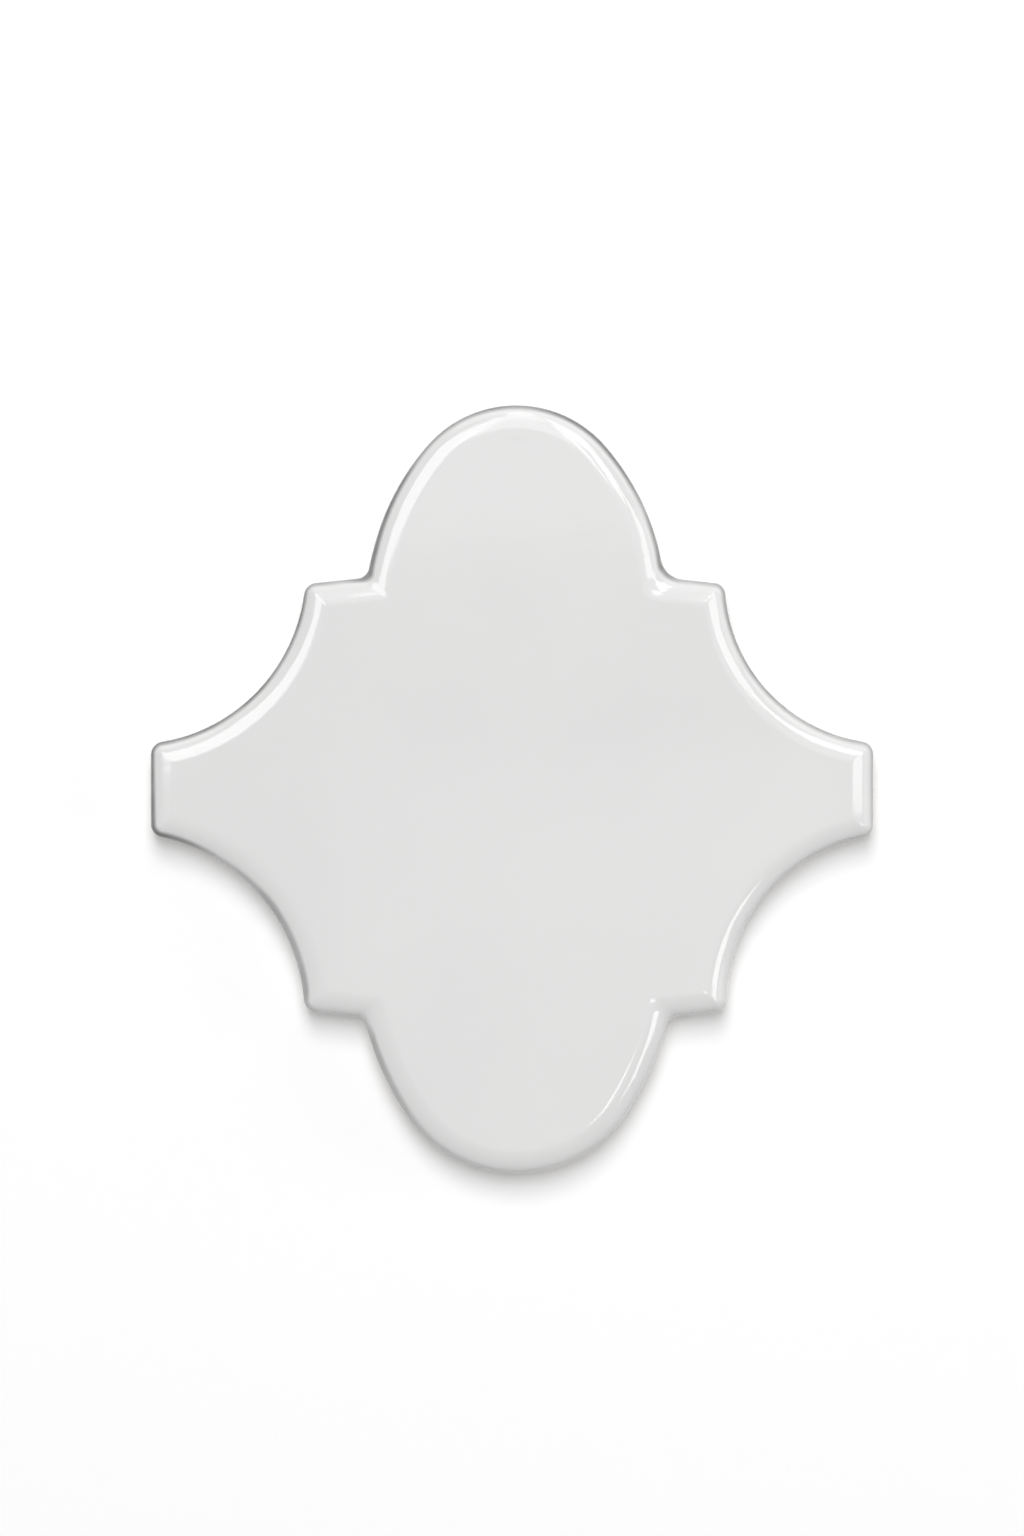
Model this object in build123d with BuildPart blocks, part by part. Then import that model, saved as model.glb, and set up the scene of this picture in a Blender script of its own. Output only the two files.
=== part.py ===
from build123d import *
from math import degrees
import os

# An arabesque wall tile, pressed and fired as one piece.
# It lies glazed face up, with the centre of its back at the origin.
# +X points to a flat end and +Y to the taller lobe. Sizes are in millimetres.

# Overall size
tile_width = 120.0
tile_height = 127.6
thickness = 8.0

# The flat end on each side, centred on the middle line
end_height = 15.4

# The upper lobe, from its tip to its neck, and the step beside the neck
upper_lobe_height = 28.6
upper_neck_width = 49.2
upper_cap_radius = 19.6
upper_cap_angle = 49.0
upper_step_length = 10.3

# The lower lobe is shorter and rounder
lower_lobe_height = 25.9
lower_neck_width = 50.6
lower_cap_radius = 22.1
lower_cap_angle = 57.0
lower_step_length = 9.8

# Each step falls away from its neck by this much over its length
step_fall = 1.1

# How deep each hollow flank lies behind the straight line between its corners
upper_flank_hollow = 6.8
lower_flank_hollow = 7.2

# Corners of the outline: necks curve inwards, steps and ends curve outwards
neck_radius = 3.2
corner_radius = 2.2

# The pillowed shoulder, a quarter of an ellipse all round the glazed face
shoulder_width = 4.2
shoulder_drop = 3.2

# The back: a bevelled edge, and shallow grooves that key into the adhesive
back_bevel = 0.5
back_margin = 6.0
groove_width = 3.0
groove_pitch = 6.0
groove_depth = 0.7

# How far a cutting shape runs past the surface that it cuts
overrun = 0.5

# Two points this close are the same corner, and this far inside an edge is in the tile
closeness = 0.01

up = Vector(0, 0, 1)


def quarter_outline(side, lobe_height, neck_width, cap_radius, cap_angle, step_length, flank_hollow):
    """Draw the right-hand outline from a lobe's tip to the corner of the flat end.

    side is 1 above the middle line and -1 below it. The cap's arc runs cap_angle degrees
    from the tip, and a second arc carries on from it to the neck without a kink.
    Returns the neck, the step's corner and the end's corner, all still sharp.
    """
    neck = Vector(neck_width / 2, side * (tile_height / 2 - lobe_height))
    step = neck + Vector(step_length, -side * step_fall)
    end = Vector(tile_width / 2, side * end_height / 2)
    cap_centre = Vector(0, side * (tile_height / 2 - cap_radius))
    cap = CenterArc(cap_centre, cap_radius, side * 90, -side * cap_angle)
    TangentArc(cap @ 1, neck, tangent=cap % 1)
    Line(neck, step)
    SagittaArc(step, end, -side * flank_hollow)
    return neck, step, end


def corners_at(sketch, points):
    """Find the sketch's corners at the points and at their mirror images across the middle."""
    return [
        corner
        for corner in sketch.vertices()
        if any((Vector(abs(corner.X), corner.Y) - point).length < closeness for point in points)
    ]


with BuildPart() as tile:
    # The plan, drawn as its right-hand half and mirrored
    with BuildSketch() as plan:
        with BuildLine():
            upper_neck, upper_step, upper_end = quarter_outline(
                1, upper_lobe_height, upper_neck_width, upper_cap_radius, upper_cap_angle,
                upper_step_length, upper_flank_hollow,
            )
            lower_neck, lower_step, lower_end = quarter_outline(
                -1, lower_lobe_height, lower_neck_width, lower_cap_radius, lower_cap_angle,
                lower_step_length, lower_flank_hollow,
            )
            Line(upper_end, lower_end)
            mirror(about=Plane.YZ)
        make_face()
        fillet(corners_at(plan, [upper_neck, lower_neck]), radius=neck_radius)
        fillet(corners_at(plan, [upper_step, lower_step, upper_end, lower_end]), radius=corner_radius)
    extrude(amount=thickness)

    # The shoulder is cut along one edge of the face at a time. At a corner whose radius is
    # smaller than the shoulder's width, two cuts meet in a crisp mitre, as on the real tile.
    for rim in tile.faces().sort_by(Axis.Z)[-1].edges():
        along = rim % 0
        inward = up.cross(along)
        if not tile.part.is_inside(rim @ 0 + (inward - up) * closeness):
            inward = -inward
        with BuildSketch(Plane(rim @ 0, x_dir=inward, z_dir=inward.cross(up))):
            with BuildLine():
                EllipticalCenterArc(
                    (shoulder_width, -shoulder_drop), shoulder_width, shoulder_drop, 90, arc_size=90
                )
                Polyline(
                    (0, -shoulder_drop), (-overrun, -shoulder_drop), (-overrun, overrun),
                    (shoulder_width, overrun), (shoulder_width, 0),
                )
            make_face()
            if rim.geom_type == GeomType.CIRCLE:
                # A tight outward corner is only cut as far as its own centre
                spoke = rim @ 0 - rim.arc_center
                if spoke.dot(inward) < 0 and rim.radius < shoulder_width:
                    with Locations((rim.radius, overrun)):
                        Rectangle(
                            shoulder_width, overrun + shoulder_drop, align=(Align.MIN, Align.MAX),
                            mode=Mode.SUBTRACT,
                        )
        if rim.geom_type == GeomType.CIRCLE:
            revolve(
                axis=Axis(rim.arc_center, spoke.cross(along)),
                revolution_arc=degrees(rim.length / rim.radius),
                mode=Mode.SUBTRACT,
            )
        else:
            extrude(amount=rim.length, dir=along, mode=Mode.SUBTRACT)

    # The back's edge
    chamfer(tile.edges().group_by(Axis.Z)[0], length=back_bevel)

    # The grooves run across the back and stop short of the edge, so that the land between
    # and around them is one flat face. A rib of it lies along the middle line, so the first
    # groove on each side is half a pitch from there.
    groove_room = tile_height / 2 - back_margin - groove_width / 2
    grooves_each_side = int(groove_room / groove_pitch + 0.5)
    with BuildSketch():
        add(plan.sketch)
        offset(amount=-back_margin)
        with BuildSketch(mode=Mode.PRIVATE) as stripes:
            with GridLocations(0, groove_pitch, 1, 2 * grooves_each_side):
                Rectangle(tile_width, groove_width)
        add(stripes.sketch, mode=Mode.INTERSECT)
    extrude(amount=groove_depth, mode=Mode.SUBTRACT)

tile.part.label = "tile"

os.makedirs("parts", exist_ok=True)
export_step(tile.part, "parts/tile.step")
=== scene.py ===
# %% [markdown]
# # A glazed arabesque wall tile
#
# This lesson dresses one pressed and fired wall tile. The CAD model gives its true size and
# its plain shape. Here it gets the soft bevelled rim, the glaze line, the raw clay back and
# the finishes that a camera sees.
#
# Every cell below either explains a step or does it. All lengths are written in millimetres
# and turned into metres at the end, because Blender and the CAD frame both use metres.

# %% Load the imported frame
import bmesh
import bpy
import numpy as np
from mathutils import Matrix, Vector


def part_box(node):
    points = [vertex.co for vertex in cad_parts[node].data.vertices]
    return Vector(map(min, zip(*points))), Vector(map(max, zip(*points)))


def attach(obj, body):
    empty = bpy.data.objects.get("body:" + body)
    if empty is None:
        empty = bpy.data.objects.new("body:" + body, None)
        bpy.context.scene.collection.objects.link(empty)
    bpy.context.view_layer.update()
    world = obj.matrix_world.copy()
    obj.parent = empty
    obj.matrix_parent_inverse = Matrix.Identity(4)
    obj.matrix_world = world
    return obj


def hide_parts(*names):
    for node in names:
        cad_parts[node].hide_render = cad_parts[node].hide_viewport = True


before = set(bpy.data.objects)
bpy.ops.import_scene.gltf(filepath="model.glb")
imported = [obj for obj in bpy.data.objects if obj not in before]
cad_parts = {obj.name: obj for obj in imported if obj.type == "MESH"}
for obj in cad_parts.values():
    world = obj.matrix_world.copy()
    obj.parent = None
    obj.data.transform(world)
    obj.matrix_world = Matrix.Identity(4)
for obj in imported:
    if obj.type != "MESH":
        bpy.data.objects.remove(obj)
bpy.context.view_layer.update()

# %% [markdown]
# ## The sizes that drive the outline
#
# The tile's outline is a lobe above, a lobe below, four hollow flanks and two flat ends. The
# same few sizes that drive the CAD model drive it here, so the two outlines agree. Only the
# four hollow corners beside the lobes, the necks, get a radius each, where the CAD model gives
# them all the same one. The outline could also be read from the CAD node's mesh, but that mesh
# is made of short straight pieces, and a gloss glaze would show every one of them as a facet.

# %% Sizes of the outline
mm = 0.001               # one millimetre in metres
width, height = 120.0, 127.6
end_height = 15.4
step_fall = 1.1
corner_radius = 2.2

# a lobe's height, the width between its necks, its cap's radius and angle, its step's length,
# and how deep the flank beside it is hollowed
upper = dict(lobe=28.6, neck=49.2, cap=19.6, angle=49.0, step=10.3, hollow=6.8)
lower = dict(lobe=25.9, neck=50.6, cap=22.1, angle=57.0, step=9.8, hollow=7.2)

node_low, node_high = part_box("tile")
thickness = node_high.z / mm
node_width, node_height = (node_high.x - node_low.x) / mm, (node_high.y - node_low.y) / mm
print(f"CAD node is {node_width:.2f} x {node_height:.2f} x {thickness:.2f} mm")

# %% [markdown]
# ## Every run of the outline is an arc
#
# Points in the plan are complex numbers, x + iy. An arc is a centre and a signed radius:
# positive where the outline bulges outwards, negative where it is hollow. A point of it is
# centre + radius times u, where u is the unit normal that points out of the tile. A straight
# run is an arc of a very large circle. This pays off later: to move any run inwards by n,
# only n is taken off its signed radius, whatever kind it is.

# %% Arcs of one quarter of the outline
nearly_straight = 1e5


def run_between(start, end):
    """A straight run as a huge arc, whose centre lies one huge radius inwards from its middle."""
    normal = 1j * (end - start) / abs(end - start)
    return (start + end) / 2 - nearly_straight * normal, nearly_straight


def quarter(lobe, neck, cap, angle, step, hollow):
    """Arcs from a lobe's tip to the flat end, and the three sharp corners between them.

    The side of the lobe leaves the cap without a kink and ends at the neck, so with q from the
    neck to the cap's end and u the cap's last normal, its radius is |q|^2 / (2 q.u). The flank
    passes a set depth behind its chord, so its radius is (chord^2 / 4 + depth^2) / (2 depth).
    """
    neck_at = neck / 2 + 1j * (height / 2 - lobe)
    step_at = neck_at + step - 1j * step_fall
    end_at = width / 2 + 1j * end_height / 2
    cap_centre = 1j * (height / 2 - cap)
    u = np.exp(1j * np.radians(90 - angle))
    q = cap_centre + cap * u - neck_at
    side = abs(q) ** 2 / (2 * (q * np.conj(u)).real)
    chord = end_at - step_at
    flank = (abs(chord) ** 2 / 4 + hollow**2) / (2 * hollow)
    flank_centre = (step_at + end_at) / 2 + (flank - hollow) * 1j * chord / abs(chord)
    arcs = [
        (cap_centre, cap),
        (cap_centre + (cap - side) * u, side),
        run_between(neck_at, step_at),
        (flank_centre, -flank),
    ]
    return arcs, [neck_at, step_at, end_at]


upper_arcs, upper_corners = quarter(**upper)
lower_arcs, lower_corners = quarter(**lower)
print("an upper quarter has", len(upper_arcs), "runs and its flank a radius of",
      round(-float(upper_arcs[-1][1]), 1), "mm")

# %% Arcs and corners of the right half
end_run = run_between(upper_corners[-1], np.conj(lower_corners[-1]))
arcs = upper_arcs + [end_run] + [(np.conj(c), r) for c, r in lower_arcs[::-1]]
corners = [None] + upper_corners + [np.conj(p) for p in lower_corners[::-1]] + [None]

# signed radii of the corners from the upper tip to the lower one; necks are hollow, so negative
right_rounding = [None, -4.3] + [corner_radius] * 4 + [-2.6, None]
left_rounding = [None, -2.0] + [corner_radius] * 4 + [-1.6, None]
print("right half:", len(arcs), "runs; signed radii", [round(float(r), 1) for _, r in arcs])

# %% [markdown]
# ## Rounding the corners, at any distance inside the edge
#
# The rim of the tile is one profile carried round the outline, so the outline is needed again
# and again, each time a little further in. A bulging corner gets tighter on the way in until
# it is nearly crisp, and from there a ridge runs inwards, a mitre, which the pressing die
# left. A neck would grow wider at a true distance from the edge, but on this tile the valley
# that runs inwards from each neck gets a little crisper. Offsetting the points along their
# normals could make no such valley, and would let them cross over at the mitres. So each
# corner's small arc is worked out afresh for every distance.

# %% A small arc between two others
def rounded_corner(first, second, fillet, corner):
    """Small arc of signed radius `fillet` that touches two arcs of signed radii r1 and r2.

    Its centre lies |r1 - fillet| from the first centre and |r2 - fillet| from the second, so
    it is where two circles cross; of the two crossings, the one nearer the corner is meant.
    It touches each arc where that arc's normal is (centre - arc's centre) / (r - fillet).
    """
    (c1, r1), (c2, r2) = first, second
    gap = c2 - c1
    span = abs(gap)
    along = (span**2 + (r1 - fillet) ** 2 - (r2 - fillet) ** 2) / (2 * span)
    aside = np.sqrt((r1 - fillet) ** 2 - along**2)
    left = c1 + (along + 1j * aside) * gap / span
    right = c1 + (along - 1j * aside) * gap / span
    centre = np.where(abs(left - corner) < abs(right - corner), left, right)
    leaves, joins = np.angle((centre - c1) / (r1 - fillet)), np.angle((centre - c2) / (r2 - fillet))
    return centre, leaves, joins


corner_centre = rounded_corner(upper_arcs[2], upper_arcs[3], corner_radius, upper_corners[1])[0]
print("the upper step's corner is rounded about", complex(corner_centre.round(2)))

# %% [markdown]
# ## All the arcs, moved inwards
#
# Between two corners the outline is one arc, and n further in it is the same arc with n taken
# off its signed radius. At each corner a small arc goes in between. Where two arcs run on
# without a corner, they meet where both have the same normal. All this is worked out for
# every inset at once, as one array with a row for each.

# %% Arcs at any inset
crispest_corner = 0.45   # the tightest that a bulging corner gets, along a mitre's ridge
crispest_neck = 1.0      # the tightest that a neck gets


def outline_arcs(insets, rounding, growth=1.0):
    """Centres, signed radii and first and last normals of every arc, one row for each inset.

    A neck's signed radius is that at the edge less growth x inset; a growth of 1 keeps the
    neck at a true distance from the edge, and a smaller one makes a crisper valley.
    """
    n = np.asarray(insets, float)
    rows = []
    turn = np.full(n.shape, np.pi / 2)
    for k, (centre, radius) in enumerate(arcs):
        own = centre + 0 * n, radius - n
        if k + 1 == len(arcs):
            rows.append((*own, turn, np.full(n.shape, -np.pi / 2)))
            break
        after = arcs[k + 1][0] + 0 * n, arcs[k + 1][1] - n
        if corners[k] is None or rounding[k] is None:
            smooth = np.angle((own[0] - after[0]) / (after[1] - own[1]))
            rows.append((*own, turn, smooth))
            turn = smooth
            continue
        if rounding[k] > 0:
            fillet = np.maximum(rounding[k] - n, crispest_corner)
        else:
            fillet = np.minimum(rounding[k] - growth * n, -crispest_neck)
        small, leaves, joins = rounded_corner(own, after, fillet, corners[k])
        rows.append((*own, turn, leaves))
        rows.append((small, fillet, leaves, joins))
        turn = joins
    return [np.stack([row[part] for row in rows], -1) for part in range(4)]


_, radius, first, last = outline_arcs([0.0], right_rounding)
arc_lengths = abs(radius * (last - first))[0]
print(len(arc_lengths), "arcs of", arc_lengths.round(1), "mm, together", arc_lengths.sum().round(1))


# %% Points at any inset
def outline(insets, stations, rounding, growth=1.0):
    """Points of the outline, a row for each inset and a column for each station.

    A station is an arc's number plus the fraction of the way along it. The point there is
    centre + signed radius x normal, and the normal turns evenly from the arc's first to its last.
    """
    centre, radius, first, last = outline_arcs(insets, rounding, growth)
    arc = np.minimum(stations.astype(int), centre.shape[-1] - 1)
    normal = np.exp(1j * (first[:, arc] + (stations - arc) * (last - first)[:, arc]))
    return centre[:, arc] + radius[:, arc] * normal


print("upper tip at", outline([0.0], np.array([0.0]), right_rounding)[0, 0].round(3))

# %% [markdown]
# ## Where the columns of the mesh run
#
# The surface is a grid. Its columns cross the rim, so they are close together at the tight
# corners and further apart on the long flanks. Even steps as fine as the corners need would
# take almost three times as many columns.

# %% Stations along the right half
spacing = 0.75           # between stations along the edge
fewest_steps = 14        # along the shortest arcs, the corners
counts = np.maximum(np.ceil(arc_lengths / spacing).astype(int), fewest_steps)
stations = np.concatenate([k + np.arange(c) / c for k, c in enumerate(counts)] + [[len(counts)]])
print("stations before the grooves:", len(stations))

# %% [markdown]
# ## Columns for the grooves
#
# The back's grooves lie straight across the tile. They could be cut with a boolean, but that
# leaves ragged long faces. Here columns are added exactly where the grooves' edges meet the
# back's margin, so the same columns serve the glazed face and the back.

# %% Stations at the grooves' edges
back_margin = 6.0
groove_width, groove_pitch = 3.0, 6.0
groove_wall = 0.12       # half the width over which a groove's side comes down
grooves_each_side = 9

# the margin's height at many close stations, to look up where it meets a groove's edge
fine_steps = 40000
fine = np.linspace(0, len(counts), fine_steps + 1)
fine_y = outline([back_margin], fine, right_rounding)[0].imag
groove_middles = groove_pitch * (np.arange(2 * grooves_each_side) + 0.5 - grooves_each_side)
edge_offsets = groove_width / 2 + np.array([-groove_wall, groove_wall])
groove_edges = (groove_middles[:, None] + np.outer([1, -1], edge_offsets).ravel()).ravel()
edge_stations = np.interp(-groove_edges, -fine_y, fine)

closest_stations = 0.004 # a station closer than this to a groove's edge gives way to it
clear = abs(stations[:, None] - edge_stations).min(1) > closest_stations
stations = np.sort(np.concatenate([stations[clear], edge_stations]))
print("stations on the right half:", len(stations))

# %% [markdown]
# ## The rim's profile
#
# From the side, a pressed tile has an upright wall and then a pillowed shoulder, which starts
# upright, leans over more and more and ends level with the flat face. The CAD model has a
# quarter of an ellipse there. In the photograph the highlights show a fuller curve, which
# rises faster beside the wall and is flatter over the rest. A quarter of a super-ellipse does
# that: it is an ellipse whose two powers can each be more or less than 2. A bevel would be
# quicker, but a gloss surface shows every kink as a line, and this curve has none.

# %% Profile of the shoulder
shoulder_width, shoulder_drop = 4.1, 2.9
run_out, run_up = 1.8, 3.3   # the powers of its inset and of its depth; an ellipse has 2 and 2
shoulder_steps = 36
crowding = 1.25          # above 1, the rings crowd towards the wall, where the curve is tightest


def shoulder(turn):
    """Inset and depth below the flat face, for a turn from 0 at the wall to 1 at the face.

    (1 - inset / width)^run_out + (1 - depth / drop)^run_up = 1. With a the turn as an angle up
    to 90 degrees, the first part is cos(a)^2 and the second is sin(a)^2.
    """
    angle = turn * np.pi / 2
    inset = shoulder_width * (1 - np.cos(angle) ** (2 / run_out))
    return inset, shoulder_drop * (1 - np.sin(angle) ** (2 / run_up))


shoulder_inset, shoulder_depth = shoulder(np.linspace(0, 1, shoulder_steps + 1) ** crowding)
shoulder_z = thickness - shoulder_depth
print("shoulder rings at", shoulder_inset.round(2), "depths", shoulder_depth.round(2))

# %% [markdown]
# ## Wall, glaze line and back edge
#
# Glaze is poured or sprayed on from above and stops a little short of the bottom, or it would
# stick the tile to the kiln shelf. So the lowest millimetre or so of the wall is bare clay,
# and the glaze ends in a soft, slightly wandering lip. The back's edge has a small bevel. A
# plain wall with two materials would be simpler, but it would have no lip to catch the light.

# %% Rings of the profile from the back's margin to the flat face
glaze_line = 1.35        # height of the glaze's lower edge
bare_step = 0.11         # how far the bare clay stands back from the glaze
back_bevel = 0.5

# every ring is an inset and a height; the small steps round the bevel's and the lip's edges
back_rings = [(back_margin, 0), (3.2, 0), (back_bevel + 0.04, 0)]
bare_rings = [
    (back_bevel - 0.06, 0.03), (bare_step + 0.06, back_bevel - 0.09), (bare_step, back_bevel),
]
lip_rings = [
    (bare_step, glaze_line - 0.14), (bare_step - 0.02, glaze_line - 0.06),
    (0.045, glaze_line - 0.01), (0.012, glaze_line + 0.08), (0, glaze_line + 0.24),
]
wall_rings = [(0, z) for z in (2.1, 2.8, 3.5, 4.2)]
rim_rings = list(zip(shoulder_inset, shoulder_z))
flat_rings = [(n, thickness) for n in (4.5, 5.2, 6.0)]
rings = np.array(back_rings + bare_rings + lip_rings + wall_rings + rim_rings + flat_rings, float)

true_rings = 2           # the back's first rings keep a true distance from the edge at the necks
first_lip = len(back_rings + bare_rings)
line_rings = slice(first_lip, first_lip + len(lip_rings))
first_glazed = first_lip + 1
print("rings:", len(rings), "first glazed ring:", first_glazed)

# %% [markdown]
# ## One profile, carried all the way round
#
# The die that pressed the tile has the same profile everywhere, so one list of rings serves
# the whole rim. Each ring is the outline at its inset, lifted to its height. The left half is
# the right half's mirror image, apart from its two necks. A curve with a bevel profile takes
# fewer lines, but at the tight corners its inner rings would cross over each other.

# %% Carry the profile round the outline
neck_growth = -0.35      # how much a neck's radius grows with each millimetre inwards
growth = np.where(np.arange(len(rings)) < true_rings, 1.0, neck_growth)
right = outline(rings[:, 0], stations, right_rounding, growth)
left = outline(rings[:, 0], stations, left_rounding, growth)

# the back's margin is the same on both sides, so that the grooves run straight across
left[0] = right[0]
loop = np.concatenate([right, -np.conj(left[:, -2:0:-1])], 1)
loop_z = np.repeat(rings[:, 1:], loop.shape[1], 1)
print("rings and columns of the loop:", loop.shape)

# %% [markdown]
# ## A lip that wanders
#
# Nobody draws the glaze's lower edge: it is where the glaze stopped, or was wiped off. So it
# goes up and down by a few tenths of a millimetre. It is made of sine waves added up, each
# with a whole number of turns on the way round. A noise looked up along the edge would not
# meet itself at the start, and these waves do.

# %% Let the glaze's lower edge wander
rng = np.random.default_rng(5)
wander_waves = np.arange(3, 60)   # how many times each wave goes up and down on the way round
wander_fall = 0.9        # the power by which shorter waves are lower
wander_height = 0.22     # the typical height of them all together
wander_least, wander_most = -0.5, 0.55

lip_edge = np.append(loop[first_lip], loop[first_lip, 0])
way = np.concatenate([[0], np.cumsum(abs(np.diff(lip_edge)))])
turns = 2 * np.pi * way[:-1] / way[-1]
heights = rng.normal(size=wander_waves.size) / wander_waves**wander_fall
starts = rng.uniform(0, 6.28, wander_waves.size)
wander = heights @ np.sin(np.outer(wander_waves, turns) + starts[:, None])
wander *= wander_height / wander.std()
loop_z[line_rings] += np.clip(wander, wander_least, wander_most)
line_z = loop_z[first_glazed]
print("the glaze ends between", line_z.min().round(2), "and", line_z.max().round(2), "mm up")

# %% [markdown]
# ## The flat face and the back
#
# Inside the rim, both faces are filled with straight rows that join each point on the right to
# its mirror image on the left. A row that ends on a groove's edge is straight, so the groove
# is straight too. A fan round the middle would also close the face, but its thin wedges would
# meet in one point in the middle of the most visible surface.

# %% Rows across the faces
def rows_between(ring, stops):
    """Rows from a ring's left points to its right ones: left + (right - left) x stop."""
    from_left, to_right = -np.conj(left[ring]), right[ring]
    return from_left[:, None] + (to_right - from_left)[:, None] * stops


stop_count = 29
across = np.linspace(0, 1, stop_count)[1:-1]
face = rows_between(-1, across)

# the back's rows get a stop just inside each end, where a groove's end wall comes down
end_wall, widest_share = 0.35, 0.2
row_widths = np.maximum(2 * right[0].real, 1e-9)
wall_share = np.minimum(widest_share, end_wall / row_widths)[:, None]
between = wall_share + (1 - 2 * wall_share) * across[None, 2:-2]
back = rows_between(0, np.concatenate([wall_share, between, 1 - wall_share], 1))
print("rows and stops of the face:", face.shape, "and of the back:", back.shape)

# %% [markdown]
# ## Grooves in the back
#
# A wall tile's back has shallow grooves for the adhesive to grip. The back isn't in the
# photograph, so these are plain, straight ones, as in the CAD model. Their height is a
# function of y alone, because the columns already lie on their edges.

# %% Heights of the back
groove_depth = 0.7


def in_groove(y):
    """1 on a groove's floor, 0 on the land between, and a straight ramp across each wall."""
    to_middle = abs(y[..., None] - groove_middles).min(-1)
    return np.clip((groove_width / 2 + groove_wall - to_middle) / (2 * groove_wall), 0, 1)


back_z = groove_depth * in_groove(back.imag)
print("deepest groove:", back_z.max(), "mm")

# %% [markdown]
# ## Faint dips in the face
#
# The glazed face is nearly flat, but pressing and firing leave long dips in it, about a
# hundredth of a millimetre deep. They can't be seen as shapes. Without them the face would
# mirror the room too perfectly. A bump in the material could do it too, but the mesh itself
# would stay perfectly flat.

# %% Dips in the face
wave_count, wave_depth = 7, 0.012
shortest_wave, longest_wave = 26, 70
evening = 8              # the waves' sum is divided by this, so that it seldom leaves 0 to 1


def press_waves(plan):
    """Long sine waves in random directions, added up, halved about 0.5 and held from 0 to 1."""
    bearings = np.exp(1j * rng.uniform(0, 2 * np.pi, wave_count))
    directions = bearings / rng.uniform(shortest_wave, longest_wave, wave_count)
    phases = rng.uniform(0, 2 * np.pi, wave_count)
    along = 2 * np.pi * (plan[..., None] * np.conj(directions)).real
    return np.clip(0.5 + np.sin(along + phases).sum(-1) / evening, 0, 1)


# the dips fade to nothing at the ends of the rows and at the lobes' tips
inside = 4 * across * (1 - across) * (1 - (face.imag / (height / 2)) ** 2)
face_z = thickness - wave_depth * press_waves(face) * inside
print("lowest point of the face:", face_z.min().round(3), "mm up")

# %% [markdown]
# ## One closed mesh
#
# The rim, the face and the back share their border points, so the tile is one closed shell
# with no doubled points. Three meshes could be joined and their doubles merged, but a count
# that shares the points from the start needs no distance for it. Two finishes share the shell:
# the glaze, and the bare clay below the glaze line and on the back.

# %% Number the vertices and join them into faces
ring_count, column_count = loop.shape
half = len(stations)
plan = np.concatenate([loop.ravel(), face[1:-1].ravel(), back[1:-1].ravel()])
z = np.concatenate([loop_z.ravel(), face_z[1:-1].ravel(), back_z[1:-1].ravel()])

rim_numbers = np.arange(ring_count * column_count).reshape(ring_count, column_count)
rim_numbers = np.concatenate([rim_numbers, rim_numbers[:, :1]], 1)
left_columns = (column_count - np.arange(half)) % column_count


def face_numbers(ring, first, inner):
    """Vertex numbers of a filled face: its own from first on, between the ring's at both ends."""
    rows = first + np.arange(inner.shape[0] * inner.shape[1]).reshape(inner.shape)
    border = rim_numbers[ring]
    return np.concatenate([border[left_columns[1:-1], None], rows, border[1:half - 1, None]], 1)


def cells(numbers):
    """The four corners of every cell of a grid of vertex numbers, a row for each cell."""
    corner_grids = numbers[:-1, :-1], numbers[1:, :-1], numbers[1:, 1:], numbers[:-1, 1:]
    return np.stack(corner_grids, -1).reshape(-1, 4)


def tip_fan(tip, row):
    """Triangles from a lobe's tip to the first full row."""
    return np.stack([np.full(len(row) - 1, tip), row[:-1], row[1:]], -1)


print("points:", len(plan), "of them on the rim:", loop.size)

# %% Faces of the glaze and of the clay
face_grid = face_numbers(-1, loop.size, face[1:-1])
back_grid = face_numbers(0, loop.size + face[1:-1].size, back[1:-1])
rim_cells = cells(rim_numbers)
glaze_faces = [rim_cells[first_glazed * column_count:], cells(face_grid)]
clay_faces = [rim_cells[:first_glazed * column_count], cells(back_grid)]
for grid, ring, group in ((face_grid, -1, glaze_faces), (back_grid, 0, clay_faces)):
    group.append(tip_fan(rim_numbers[ring, 0], grid[0]))
    group.append(tip_fan(rim_numbers[ring, half - 1], grid[-1]))
faces = [corner for part in glaze_faces + clay_faces for corner in part.tolist()]
glazed_count = sum(len(part) for part in glaze_faces)
print("faces:", len(faces), "of them glazed:", glazed_count)

# %% [markdown]
# ## A slight lean from the kiln
#
# On the real tile both lobes stand a little to the right of the flat ends' middle. A fired
# piece is never quite true, so the plan is pushed to the right, by nothing on the middle line
# and by 0.7 mm at the lobes. The arcs themselves could lean, but then their centres and radii
# would no longer follow from the plain sizes above.

# %% Build the mesh
lobe_lean = 0.7
lean_reach = 40          # the lean grows with the square of the height up to here, then stays
lean = lobe_lean * np.clip(abs(plan.imag) / lean_reach, 0, 1) ** 2
points = np.stack([plan.real + lean, plan.imag, z], -1) * mm

mesh = bpy.data.meshes.new("tile_glazed")
mesh.from_pydata(points.tolist(), [], faces)
is_clay = np.arange(len(faces)) >= glazed_count
mesh.polygons.foreach_set("material_index", is_clay.astype(np.int32))
mesh.polygons.foreach_set("use_smooth", np.ones(len(faces), bool))
mesh.update()
print("mesh:", mesh.name, "of", len(mesh.vertices), "points; lean at the tips", lean.max(), "mm")

# %% Point the faces outwards and measure
work = bmesh.new()
work.from_mesh(mesh)
bmesh.ops.recalc_face_normals(work, faces=work.faces)
open_edges = sum(not edge.is_manifold for edge in work.edges)
volume = work.calc_volume(signed=True) / mm**3
work.to_mesh(mesh)
work.free()
crease_angle = 32        # edges that bend more than this stay sharp, such as the grooves'
mesh.set_sharp_from_angle(angle=np.radians(crease_angle))
triangles = sum(len(face) - 2 for face in faces)
print(f"volume {volume:.0f} mm3, open edges {open_edges}, triangles {triangles}")

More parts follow.
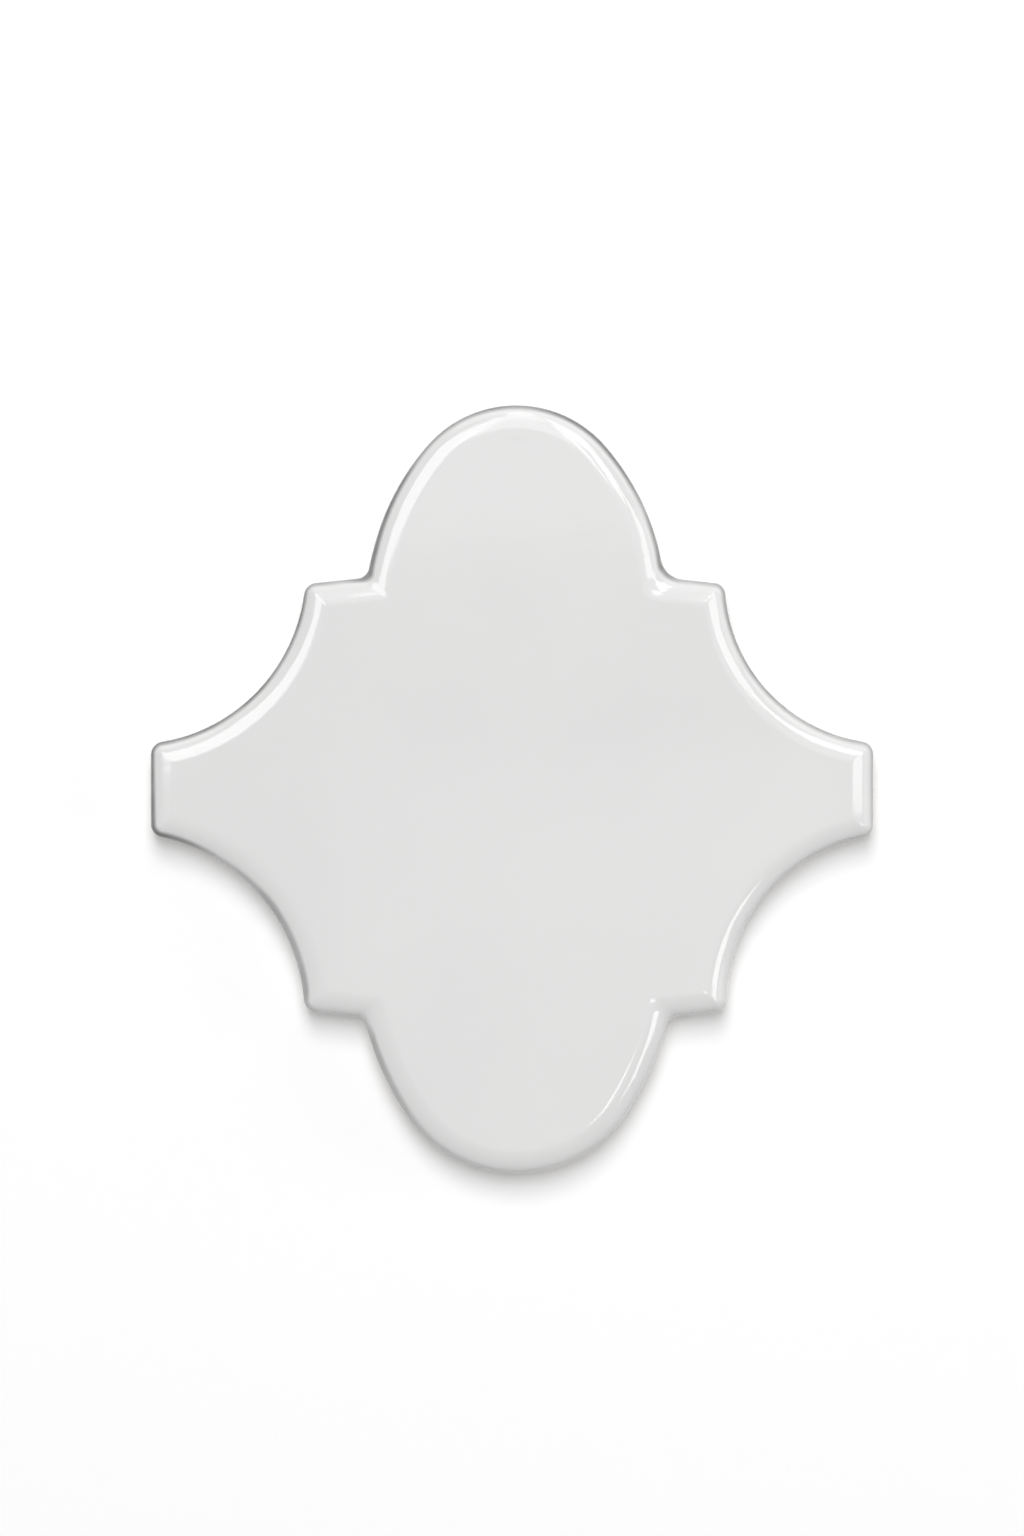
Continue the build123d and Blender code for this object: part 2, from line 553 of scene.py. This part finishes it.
# %% [markdown]
# ## A painted shade line round the crest
#
# A dark grey line is painted round the crest. It is painted shade: it stands in for the shade
# and the dark reflections on the crest's steep edge, strong on some stretches and missing on
# others. A pattern of noise would put it in the wrong places, so it is looked up by bearing:
# how strong the painted shade is, and how wide the line is, at a list of directions from the
# middle. The result is kept in the mesh as an attribute, which the glaze's material reads.

# %% Mark the painted shade on the crest
# bearings in degrees, anticlockwise from the right-hand end, with how strong the painted shade
# on the crest is there, and how far the line reaches inwards in millimetres
around = [0, 25, 43, 50, 57, 66, 74, 80, 90, 103, 112, 124, 130, 138, 172,
          187, 193, 205, 224, 229, 236, 240, 250, 256, 275, 318, 353, 360]
shade_strength = [0.55, 0.75, 0.75, 0.55, 0.9, 0.7, 1.0, 1.0, 0.85, 0.8, 1.0, 1.0, 0.55, 1.0, 1.0,
            1.0, 0.3, 0.55, 0.6, 0.1, 0.15, 0.55, 0.4, 0.2, 0.0, 0.0, 0.3, 0.55]
band = [0.75, 0.85, 0.85, 0.75, 1.05, 0.85, 1.0, 1.0, 0.9, 0.8, 1.0, 1.2, 0.75, 0.85, 0.85,
        1.15, 0.9, 1.5, 1.4, 0.6, 0.7, 1.3, 1.4, 1.3, 0.7, 0.6, 0.7, 0.75]
fade = 0.6               # the line fades out inwards over this many millimetres
grey_foot, grey_rise = 5.6, 0.5   # it starts this high up the rim and is full this much above


def crest_shade_amount(inset, z, bearing):
    """How strong the painted shade on the crest is, from 0 to 1: a ramp over the inset x a ramp up
    the rim x shade strength.

    The band along the edge is wider and darker in some places than in others, so both are
    looked up by the bearing in degrees at which the place lies, seen from the tile's middle.
    """
    off_edge = np.clip((np.interp(bearing, around, band) - inset) / fade, 0, 1)
    up_wall = np.clip((z - grey_foot) / grey_rise, 0, 1)
    return off_edge * up_wall * np.interp(bearing, around, shade_strength)


crest_shade = np.zeros(len(plan))
bearings = np.degrees(np.angle(loop)) % 360
crest_shade[:loop.size] = crest_shade_amount(rings[:, :1], rings[:, 1:], bearings).ravel()
marks = mesh.attributes.new("painted_crest_shade", "FLOAT", "POINT")
marks.data.foreach_set("value", crest_shade.astype(np.float32))
# counts the points where the painted crest shade is over half strength
print("points with thin glaze:", int((crest_shade > 0.5).sum()))

# %% [markdown]
# ## The tile as a piece of the part
#
# The mesh becomes an object. It rides on the part's one body and takes the place of the plain
# CAD tile.

# %% Put the tile in the scene
tile = bpy.data.objects.new("tile_glazed", mesh)
bpy.context.scene.collection.objects.link(tile)
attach(tile, "root")
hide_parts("tile")
print("piece:", tile.name)

# %% [markdown]
# ## A few helpers for materials
#
# Both materials below are made of the same kinds of node: noise, a range laid over another
# range, a ramp of colours and a mix of two. Written out, each takes four or five lines. These
# helpers make one in a single line, and every pattern reads Object coordinates, so that it
# stays on the tile when the tile is moved.

# %% Helpers for materials
def new_material(name):
    """A new material, its shader, a maker of nodes and a maker of links between them."""
    material = bpy.data.materials.new(name)
    material.use_nodes = True
    nodes, links = material.node_tree.nodes, material.node_tree.links
    shader = next(node for node in nodes if node.type == "BSDF_PRINCIPLED")

    def node(kind, **settings):
        """A node of a kind; each setting goes on its input, or else on the node itself."""
        made = nodes.new(kind)
        for key, value in settings.items():
            if key in made.inputs:
                made.inputs[key].default_value = value
            else:
                setattr(made, key, value)
        return made

    return material, shader, node, links.new


def noise(node, link, place, scale, detail=2.0, roughness=0.5):
    """A noise pattern on a place, with its scale in cells per metre."""
    made = node("ShaderNodeTexNoise", Scale=scale, Detail=detail, Roughness=roughness)
    link(place, made.inputs["Vector"])
    return made.outputs["Fac"]


def stretched(node, link, value, low, high, to_low, to_high):
    """Value's range low..high laid over to_low..to_high, held at both ends."""
    made = node("ShaderNodeMapRange", clamp=True)
    limits = {"From Min": low, "From Max": high, "To Min": to_low, "To Max": to_high}
    for name, number in limits.items():
        made.inputs[name].default_value = number
    link(value, made.inputs["Value"])
    return made.outputs["Result"]


def colours(node, link, value, *stops):
    """A ramp of linear colours over the value, from stops of (position, (r, g, b))."""
    made = node("ShaderNodeValToRGB")
    ramp = made.color_ramp
    for index, (position, colour) in enumerate(stops):
        element = ramp.elements[index] if index < 2 else ramp.elements.new(position)
        element.position, element.color = position, (*colour, 1)
    link(value, made.inputs["Fac"])
    return made.outputs["Color"]


def mixed(node, link, share, under, over):
    """under x (1 - share) + over x share, for a linked colour under and a plain colour over."""
    made = node("ShaderNodeMix", data_type="RGBA")
    share_in, _, _, _, _, _, under_in, over_in = list(made.inputs)[:8]
    link(share, share_in)
    link(under, under_in)
    over_in.default_value = (*over, 1)
    return made.outputs[2]


print("five helpers: new_material, noise, stretched, colours, mixed")


# %% [markdown]
# ## The glaze
#
# A white opaque glaze is a slim layer of glass with fine white grains in it. In Blender it is
# a Principled shader with a pale colour and a low roughness. What keeps it from looking like
# plastic is small. The white varies very slightly in soft clouds. The surface has the faint
# orange-peel ripple of glass that flowed and froze. The crest gets a dark grey line of painted
# shade, which stands in for the shade on its steep edge, and here and there a bubble left a
# pinprick. A photograph of glaze could be wrapped round the tile instead, but it would show
# its own lighting.

# %% White gloss glaze
glaze, shader, node, link = new_material("white_gloss_glaze")
place = node("ShaderNodeTexCoord").outputs["Object"]
clouds = noise(node, link, place, 34, 3)
white = colours(node, link, clouds, (0.3, (0.735, 0.737, 0.732)), (0.7, (0.755, 0.756, 0.75)))

# painted shade: the crest is painted dark grey, a little unevenly, where its steep edge lies in
# shade
crest_shade_grey = 0.12, 0.12, 0.12
marked = node("ShaderNodeAttribute", attribute_name="painted_crest_shade").outputs["Fac"]
uneven = stretched(node, link, noise(node, link, place, 160, 2), 0.3, 0.7, 0.75, 1.0)
shows = node("ShaderNodeMath", operation="MULTIPLY")
link(marked, shows.inputs[0])
link(uneven, shows.inputs[1])
glaze_and_crest_shade = mixed(node, link, shows.outputs[0], white, crest_shade_grey)

smoothest, dullest = 0.055, 0.085
gloss = stretched(node, link, noise(node, link, place, 90, 2), 0.3, 0.7, smoothest, dullest)
link(gloss, shader.inputs["Roughness"])
shader.inputs["IOR"].default_value = 1.55
print("glaze:", glaze.name, "of", smoothest, "to", dullest, "in roughness")

# %% [markdown]
# ## Pinpricks and ripple
#
# Both are too small to model as points, so they are bumps in the material. The pinpricks come
# from a pattern of cells: a few cells are chosen by their colour, and only the very middle of
# a chosen cell is pricked. The ripple is a fine, weak noise.

# %% Pinpricks and ripple of the glaze
# here and there a bubble burst in the kiln and left a pinprick in the middle of its cell
cells_per_metre, chosen_above = 150, 0.86
prick_floor, prick_rim = 0.012, 0.03   # distances from the middle, as shares of a cell
# a pinprick's grey is partly the bare body in the pit and partly painted shade inside it
prick_body_and_shade_grey = 0.42, 0.41, 0.39
bubbles = node("ShaderNodeTexVoronoi", Scale=cells_per_metre)
link(place, bubbles.inputs["Vector"])
chosen = node("ShaderNodeMath", operation="GREATER_THAN")
chosen.inputs[1].default_value = chosen_above
link(bubbles.outputs["Color"], chosen.inputs[0])
prick = node("ShaderNodeMath", operation="MULTIPLY")
depth = stretched(node, link, bubbles.outputs["Distance"], prick_floor, prick_rim, 1, 0)
link(depth, prick.inputs[0])
link(chosen.outputs[0], prick.inputs[1])
pricked_colour = mixed(node, link, prick.outputs[0], glaze_and_crest_shade, prick_body_and_shade_grey)
link(pricked_colour, shader.inputs["Base Color"])

ripple = node("ShaderNodeBump", Strength=0.25, Distance=0.00004)
link(noise(node, link, place, 420, 1), ripple.inputs["Height"])
pit = node("ShaderNodeBump", Strength=0.5, Distance=0.00006, invert=True)
link(prick.outputs[0], pit.inputs["Height"])
link(ripple.outputs["Normal"], pit.inputs["Normal"])
link(pit.outputs["Normal"], shader.inputs["Normal"])
mesh.materials.append(glaze)
print("glaze nodes:", len(glaze.node_tree.nodes))

# %% [markdown]
# ## The bare clay
#
# Under the glaze is a pale, porous, slightly sandy body, bare on the back and along the foot
# of the wall. It is quite matt and a little warmer than the glaze. Its colour changes in soft
# patches, and fine dark grains lie in it. The grains need to be small enough to read as clay,
# so there are about two noise cells to a millimetre of them, and the bump is finer still. One
# noise for all three would be simpler, but it would look like clouds and not like clay.

# %% Bare fired clay
clay, shader, node, link = new_material("bare_fired_clay")
place = node("ShaderNodeTexCoord").outputs["Object"]
patches = noise(node, link, place, 55, 4, 0.6)
body = colours(node, link, patches, (0.3, (0.56, 0.50, 0.42)), (0.7, (0.66, 0.60, 0.52)))
grains = stretched(node, link, noise(node, link, place, 1900, 2), 0.62, 0.72, 0, 0.55)
dark_grain = 0.33, 0.27, 0.21
link(mixed(node, link, grains, body, dark_grain), shader.inputs["Base Color"])
link(stretched(node, link, patches, 0.3, 0.7, 0.82, 0.95), shader.inputs["Roughness"])
grain = node("ShaderNodeBump", Strength=0.6, Distance=0.00012)
link(noise(node, link, place, 2600, 3, 0.7), grain.inputs["Height"])
link(grain.outputs["Normal"], shader.inputs["Normal"])
mesh.materials.append(clay)
print("clay nodes:", len(clay.node_tree.nodes))

# %% [markdown]
# ## Camera
#
# The photograph was taken straight from above through a long lens, so the tile shows no wall.
# The frame is 255.3 mm high at the level of the tile's crest, and its middle lies a little
# above the tile's. The camera could be shifted instead of moved, but other views keep the
# shift, and there it would push the tile off the middle.

# %% Camera straight above
frame_height, lens, sensor = 255.3, 150.0, 36.0
crest_level = 5          # the height at which the frame has that height
middle_up = 3.53         # how far the frame's middle lies above the tile's
camera_data = bpy.data.cameras.new("camera")
camera_data.lens, camera_data.sensor_width = lens, sensor
camera_data.clip_start, camera_data.clip_end = 0.05, 20
camera = bpy.data.objects.new("camera", camera_data)
bpy.context.scene.collection.objects.link(camera)
camera_height = frame_height * mm * lens / sensor
camera.location = (0, middle_up * mm, camera_height + crest_level * mm)
bpy.context.scene.camera = camera
print(f"camera {camera_height:.3f} m above the crest")

# %% [markdown]
# ## Floor
#
# The tile lies on white paper. More light on the scene would make the paper white, but it
# would bleach the tile too. So the paper gives off a little light of its own, which the camera
# and the glaze see and matt surfaces don't. The tile's shadow stays on it.

# %% Floor
reach = 4                # metres to each side
floor_corners = [(-reach, -reach, 0), (reach, -reach, 0), (reach, reach, 0), (-reach, reach, 0)]
floor_mesh = bpy.data.meshes.new("floor")
floor_mesh.from_pydata(floor_corners, [], [(0, 1, 2, 3)])
floor = bpy.data.objects.new("floor", floor_mesh)
bpy.context.scene.collection.objects.link(floor)
print("floor:", 2 * reach, "m square")


# %% Tell direct looks from light on matt surfaces
def directly_seen(nodes, links):
    """1 for rays from the camera, from gloss or through glass, and 0 for light on matt surfaces.

    It is the sum of Light Path's three outputs for those rays, held at 1.
    """
    path = nodes.new("ShaderNodeLightPath")
    total = path.outputs["Is Camera Ray"]
    for kind in ("Is Glossy Ray", "Is Transmission Ray"):
        added = nodes.new("ShaderNodeMath")
        added.operation, added.use_clamp = "ADD", True
        links.new(total, added.inputs[0])
        links.new(path.outputs[kind], added.inputs[1])
        total = added.outputs[0]
    return total


print("counted as looks: camera, glossy and transmission rays")

# %% White paper
paper = bpy.data.materials.new("white_paper")
paper.use_nodes = True
nodes, links = paper.node_tree.nodes, paper.node_tree.links
nodes.clear()
floor_white, floor_lift = 0.84, 0.19
diffuse = nodes.new("ShaderNodeBsdfDiffuse")
diffuse.inputs["Color"].default_value = (floor_white,) * 3 + (1,)
lift = nodes.new("ShaderNodeEmission")
lift.inputs["Color"].default_value = (1, 1, 1, 1)
scaled = nodes.new("ShaderNodeMath")
scaled.operation = "MULTIPLY"
scaled.inputs[1].default_value = floor_lift
links.new(directly_seen(nodes, links), scaled.inputs[0])
links.new(scaled.outputs[0], lift.inputs["Strength"])
both = nodes.new("ShaderNodeAddShader")
links.new(diffuse.outputs[0], both.inputs[0])
links.new(lift.outputs[0], both.inputs[1])
output = nodes.new("ShaderNodeOutputMaterial")
links.new(both.outputs[0], output.inputs["Surface"])
floor_mesh.materials.append(paper)
print("paper of", floor_white, "with a lift of", floor_lift)

# %% [markdown]
# ## Lamps
#
# The photograph was lit by a large soft lamp from the top and by windows. Their two effects
# are matched apart. The key and the fill light only what is matt: they set the level of the
# white and throw the shadow below the tile. What the glaze mirrors comes from lamps that are
# seen only in gloss. The tilt of the shoulder runs from upright to flat, so a lamp that lies
# flat above the tile, with its corners at set places, shows as a bright line along part of the
# shoulder, and where it ends the line ends. Each window below makes one line or a part of one.
# They keep clear of what the flat face mirrors from above, so the face itself stays even, and
# only two faint cards reach over it and shade it a little. One big lamp for everything would
# be simpler, but it gives one broad line all round.

# %% Makers of lamps
def softbox(name, centre, size, level, seen_in, aim=(0, 0, 0)):
    """A rectangular lamp at centre, in mm, turned to face the aim; its width stays level.

    level is its radiance: a lamp of level 1 that filled the whole sky would light white paper
    to exactly 1. A lamp's power is level x pi x area. It lights only matt surfaces where
    seen_in is "matt", and shows only in gloss where seen_in is "gloss".
    """
    data = bpy.data.lights.new(name, "AREA")
    data.shape, data.size, data.size_y = "RECTANGLE", size[0] * mm, size[1] * mm
    data.energy = level * np.pi * data.size * data.size_y
    lamp = bpy.data.objects.new(name, data)
    lamp.location = Vector(centre) * mm
    lamp.rotation_euler = (Vector(centre) - Vector(aim)).to_track_quat("Z", "Y").to_euler()
    lamp.visible_camera = False
    lamp.visible_glossy = seen_in == "gloss"
    lamp.visible_diffuse = seen_in == "matt"
    bpy.context.scene.collection.objects.link(lamp)


def window(name, low, high, level, up=240):
    """A lamp that lies flat at a height, from one corner to the other, seen only in gloss."""
    x, y = (low[0] + high[0]) / 2, (low[1] + high[1]) / 2
    size = high[0] - low[0], high[1] - low[1]
    softbox(name, (x, y, up), size, level, "gloss", aim=(x, y, 0))


print("two makers: softbox and window")

# %% Lamps for the matt white, and cards that the glaze mirrors in low views
softbox("key", (-60, 780, 1760), (800, 1400), 8.05, "matt")
softbox("right_fill", (1000, 60, 280), (600, 500), 1.6, "matt")
softbox("back_card", (200, 900, 620), (1800, 480), 1.35, "gloss")
softbox("right_card", (900, 100, 620), (700, 480), 1.0, "gloss")
print("lamps and cards:", len(bpy.data.lights))

# %% Windows on the left, for the long bright line down the left side
window("left_window", (-700, 6), (-270, 117), 4.1, up=960)
window("left_window_middle", (-700, 117), (-117, 160), 4.1, up=960)
window("left_window_far", (-540, 160), (-145, 600), 4.1, up=960)
window("left_window_end", (-145, 160), (-118, 380), 4.1, up=960)
window("top_left_window", (-40, 100), (-20, 225), 3.2)
print("lamps so far:", len(bpy.data.lights))

# %% Windows behind and on the upper right
window("top_window", (-20, 190), (44, 420), 2.4)
window("top_window_near", (-20, 85), (32, 190), 1.5)
window("top_right_window_far", (100, 300), (150, 470), 4.0, up=480)
window("top_right_window", (150, 185), (250, 400), 4.0, up=480)
window("top_right_window_middle", (78, 205), (150, 300), 4.0, up=480)
window("top_right_window_near", (64, 117), (105, 205), 4.0, up=480)
window("lobe_window", (43, 71), (63, 87), 4.0, up=120)
window("right_window", (109, -5), (235, 75), 3.8)
window("right_window_far", (124, 75), (205, 120), 3.7)
print("lamps so far:", len(bpy.data.lights))

# %% Windows on the lower right, and two faint cards over the face
window("lower_right_window", (440, -300), (760, -95), 4.6, up=960)
window("lower_right_window_far", (450, -380), (600, -300), 4.6, up=960)
window("low_card", (62, -138), (96, -88), 5.0, up=480)
window("soft_top_card", (-200, 75), (400, 900), 0.65, up=960)
window("soft_low_card", (-60, -260), (300, 10), 0.45, up=960)
print("lamps in all:", len(bpy.data.lights))

# %% [markdown]
# ## Soft surroundings
#
# Pale walls fill in the shadows. To matt surfaces the room is fairly dim, because the key does
# most of the work. The camera and the glaze see it white, as the background of the photograph
# is.

# %% Soft surroundings
world = bpy.data.worlds.new("studio")
bpy.context.scene.world = world
world.use_nodes = True
nodes, links = world.node_tree.nodes, world.node_tree.links
nodes.clear()
room_light, wall_white = 0.4, 1.0
room = nodes.new("ShaderNodeBackground")
room.inputs["Strength"].default_value = room_light
white_wall = nodes.new("ShaderNodeBackground")
white_wall.inputs["Strength"].default_value = wall_white
mixer = nodes.new("ShaderNodeMixShader")
output = nodes.new("ShaderNodeOutputWorld")
links.new(directly_seen(nodes, links), mixer.inputs[0])
links.new(room.outputs[0], mixer.inputs[1])
links.new(white_wall.outputs[0], mixer.inputs[2])
links.new(mixer.outputs[0], output.inputs["Surface"])

bpy.context.scene.view_settings.view_transform = "Standard"
print("world:", world.name, "view transform:", bpy.context.scene.view_settings.view_transform)
